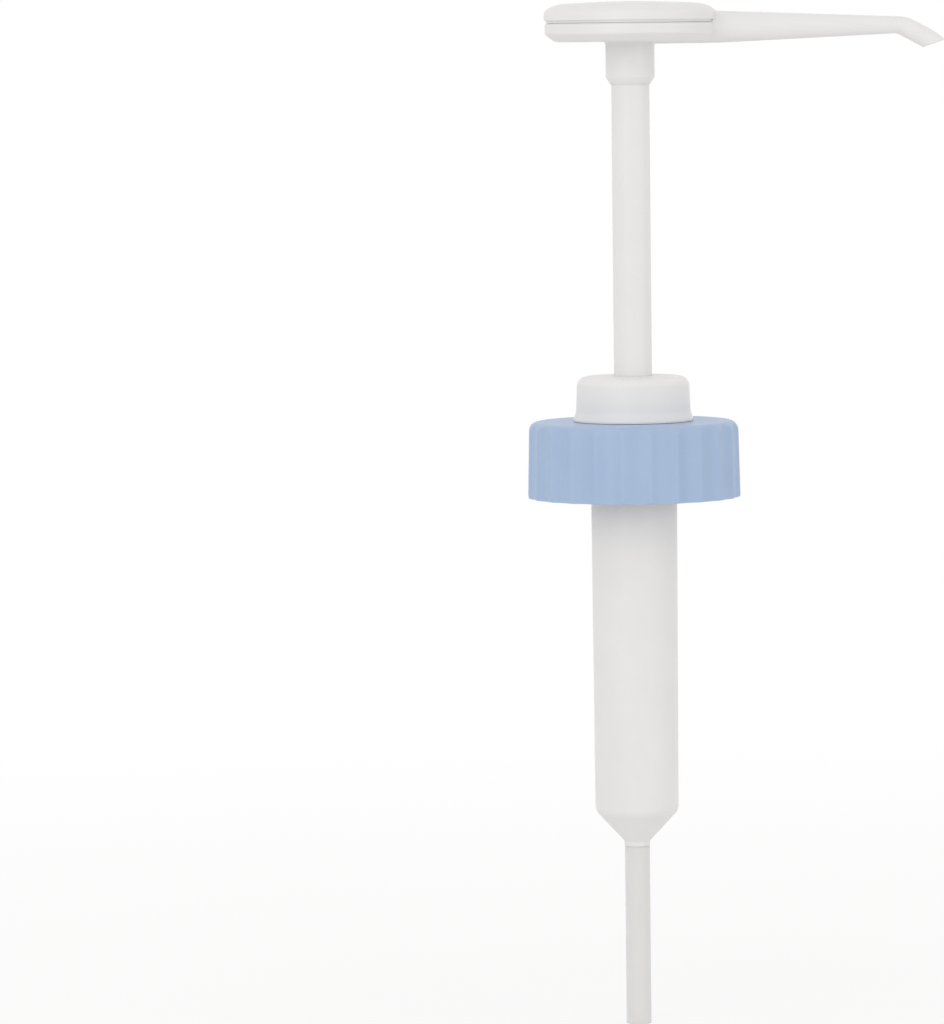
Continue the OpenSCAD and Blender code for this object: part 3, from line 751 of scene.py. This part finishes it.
def straight_ring(x, r):
    """Round ring across the straight part of the spout."""
    return [(x, r * sin(t), spout_z + r * cos(t)) for t in spout_turns]


def smooth(share):
    """Share from 0 to 1 that starts and ends gently."""
    share = min(max(share, 0), 1)
    return share * share * (3 - 2 * share)


def duct_ring(x, grow):
    """Ring of the duct in the head, whose underside shows as a keel under the head, as wide as the spout."""
    ring = []
    for t in spout_turns:
        keel = smooth((-cos(t) - KEEL_TOP) / (KEEL_FULL - KEEL_TOP))
        r = DUCT_R + (SPOUT_ROOT_R - DUCT_R) * keel + grow
        ring.append((x, r * sin(t), spout_z + r * cos(t)))
    return ring


def side_r(z):
    """Radius of the head's side at a height: the base's slanting belly and wall, and the lid's rim."""
    belly = min(max(head_z + HEAD_BELLY_H - z, 0) / HEAD_BELLY_H, 1)
    rim = min(max(z - rim_z, 0) / RIM_DROP, 1)
    return base_r - (base_r - HEAD_BELLY_R) * belly - RIM_W * (1 - sqrt(1 - rim ** 2))


def root_ring(reach, sink, grow):
    """Ring of the fillet between the spout and the head's side, at an angle of reach along the fillet's arc.
    The fillet is widest at the spout's sides, and runs out into the keel below it."""
    ring = []
    for t in spout_turns:
        fillet = SPOUT_FILLET * sin(t) ** 2 + SPOUT_TOP_FILLET * max(cos(t), 0) ** 2
        r = SPOUT_ROOT_R + fillet * (1 - cos(reach)) + grow
        z = spout_z + r * cos(t)
        wall_x = sqrt(side_r(z) ** 2 - (r * sin(t)) ** 2)
        ring.append((wall_x + fillet * (1 - sin(reach)) - sink, r * sin(t), z))
    return ring


def tip_ring(x, z, heading, r, along):
    """Ring across the bent tip, leaning over to the slanting cut as along goes from 0 to 1."""
    forward = Vector((cos(heading), 0, -sin(heading)))
    upward = Vector((sin(heading), 0, cos(heading)))
    cut = Vector((sin(SPOUT_CUT), 0, -cos(SPOUT_CUT)))
    ring = []
    for t in spout_turns:
        off = r * (sin(t) * Vector((0, 1, 0)) + cos(t) * upward)
        lean = -off.dot(cut) / forward.dot(cut)
        ring.append(Vector((x, 0, z)) + off + along * lean * forward)
    return ring


def spout_root(grow=0):
    """Rings from the duct in the head, through the wall and along the fillet."""
    reaches = [FILLET_REACH * (1 - k / FILLET_STEPS) for k in range(FILLET_STEPS + 1)]
    return [
        duct_ring(DUCT_X, grow),
        duct_ring(DUCT_X + DUCT_L, grow),
        straight_ring(DUCT_X + DUCT_L + SPOUT_LIP, SPOUT_ROOT_R + grow),
        root_ring(FILLET_REACH, WALL_SINK, grow),
    ] + [root_ring(reach, 0, grow) for reach in reaches]


tip = spout_line()
tip_l = STEP_L * (len(tip) - 1)
start_x = head_r + SPOUT_FILLET + STEP_L
taper = [start_x + (SPOUT_WAIST_X - start_x) * k / TAPER_STEPS for k in range(TAPER_STEPS)]
rings = spout_root() + [straight_ring(x, taper_r(x)) for x in taper]
for k, (x, z, heading) in enumerate(tip):
    r = SPOUT_WAIST_R + (SPOUT_TIP_R - SPOUT_WAIST_R) * smooth(k * STEP_L / SPOUT_RUNS[0][0])
    along = smooth((k * STEP_L - tip_l + SPOUT_CUT_L) / SPOUT_CUT_L)
    rings.append(tip_ring(x, z, heading, r, along))
end_x, end_z, end_heading = tip[-1]
lip = [(SPOUT_TIP_R - SPOUT_LIP * inward, forward) for inward, forward in LIP_OUTSIDE]
lip += [(SPOUT_BORE_R + SPOUT_LIP * outward, forward) for outward, forward in LIP_INSIDE]
for r, forward in lip:
    x = end_x + forward * SPOUT_LIP * sin(SPOUT_CUT)
    z = end_z - forward * SPOUT_LIP * cos(SPOUT_CUT)
    rings.append(tip_ring(x, z, end_heading, r, 1))
for k in range(len(tip) - 1, -1, -2):
    along = smooth((k * STEP_L - tip_l + SPOUT_CUT_L) / SPOUT_CUT_L)
    rings.append(tip_ring(*tip[k], SPOUT_BORE_R, along))
rings.append(straight_ring(DUCT_X, SPOUT_BORE_R))

bm = turned([
    [high("stem").x + PRESS_GAP, socket_z],
    [high("stem").x + SOCKET_LIP, socket_z, FINE_EDGE / 2],
    [SOCKET_R, socket_z + SOCKET_TAPER_L, FINE_EDGE * 2],
    [SOCKET_R, head_z, SOCKET_FILLET],
    [HEAD_BELLY_R, head_z, HEAD_BELLY_EDGE],
    [base_r, head_z + HEAD_BELLY_H, HEAD_CREASE],
    [base_r, head_z + HEAD_BASE_H, HEAD_BASE_EDGE],
    [cup_r, head_z + HEAD_BASE_H, FINE_EDGE],
    [cup_r, head_z + HEAD_WALL, FINE_EDGE],
    [SOCKET_R, head_z + HEAD_WALL, FINE_EDGE],
    [SOCKET_R, head_z + TOWER_H, FINE_EDGE],
    [0, head_z + TOWER_H],
    [0, head_z + TOWER_BORE_H],
    [STEM_BORE_R, head_z + TOWER_BORE_H],
    [STEM_BORE_R, high("stem").z],
    [high("stem").x + PRESS_GAP, high("stem").z],
], steps=2 * TURN_STEPS)
base = shape("head_base_shell", worked(bm, skin(rings, closed=True), "UNION"))
base.data.materials.append(white_pp)
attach(base, "actuator")
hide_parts("head_base")


# Head lid: the domed upper half of the head, white polypropylene, pressed into the base. Its rim is rounded
# over, and a shadow gap parts it from the base all round, apart from the notch that sits on the spout.
LID_GAP = 0.8
LID_GAP_DEPTH = 0.5
LID_EDGE = 0.45
LID_T = 1.6
DOME_STEPS = 16
RIM_STEPS = 14
NOTCH_GAP = 0.1
SKIRT_FOOT_GAP = 0.1

lid_seat = head_z + HEAD_BASE_H + PRESS_GAP
lid_z = head_z + HEAD_BASE_H + LID_GAP
skirt_r = cup_r - PRESS_GAP
rim_r = head_r - RIM_W


def dome_z(r):
    """Height of the lid's top at a radius: a flat dome, with a rim that rounds over to the side."""
    over = max((r - rim_r) / RIM_W, 0)
    return lid_top - DOME_DROP * (r / head_r) ** 2 - RIM_DROP * (1 - sqrt(max(1 - over ** 2, 0)))


rim = [rim_r + RIM_W * cos(pi / 2 * k / RIM_STEPS) for k in range(RIM_STEPS)]
dome = [rim_r * (1 - k / DOME_STEPS) for k in range(DOME_STEPS + 1)]
bm = turned([
    [0, lid_top - DOME_DROP - LID_T],
    [skirt_r - HEAD_WALL, lid_top - DOME_DROP - LID_T, FINE_EDGE],
    [skirt_r - HEAD_WALL, head_z + HEAD_WALL + SKIRT_FOOT_GAP],
    [skirt_r, head_z + HEAD_WALL + SKIRT_FOOT_GAP, FINE_EDGE],
    [skirt_r, lid_seat],
    [base_r - LID_GAP_DEPTH, lid_seat],
    [base_r - LID_GAP_DEPTH, lid_z],
    [head_r, lid_z, LID_EDGE],
] + [[r, dome_z(r)] for r in rim + dome], steps=2 * TURN_STEPS)
notch = skin(spout_root(NOTCH_GAP) + [straight_ring(start_x, taper_r(start_x) + NOTCH_GAP)], closed=False)
lid = shape("head_lid_shell", worked(bm, notch, "DIFFERENCE"))
lid.data.materials.append(white_pp)
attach(lid, "actuator")
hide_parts("head_lid")
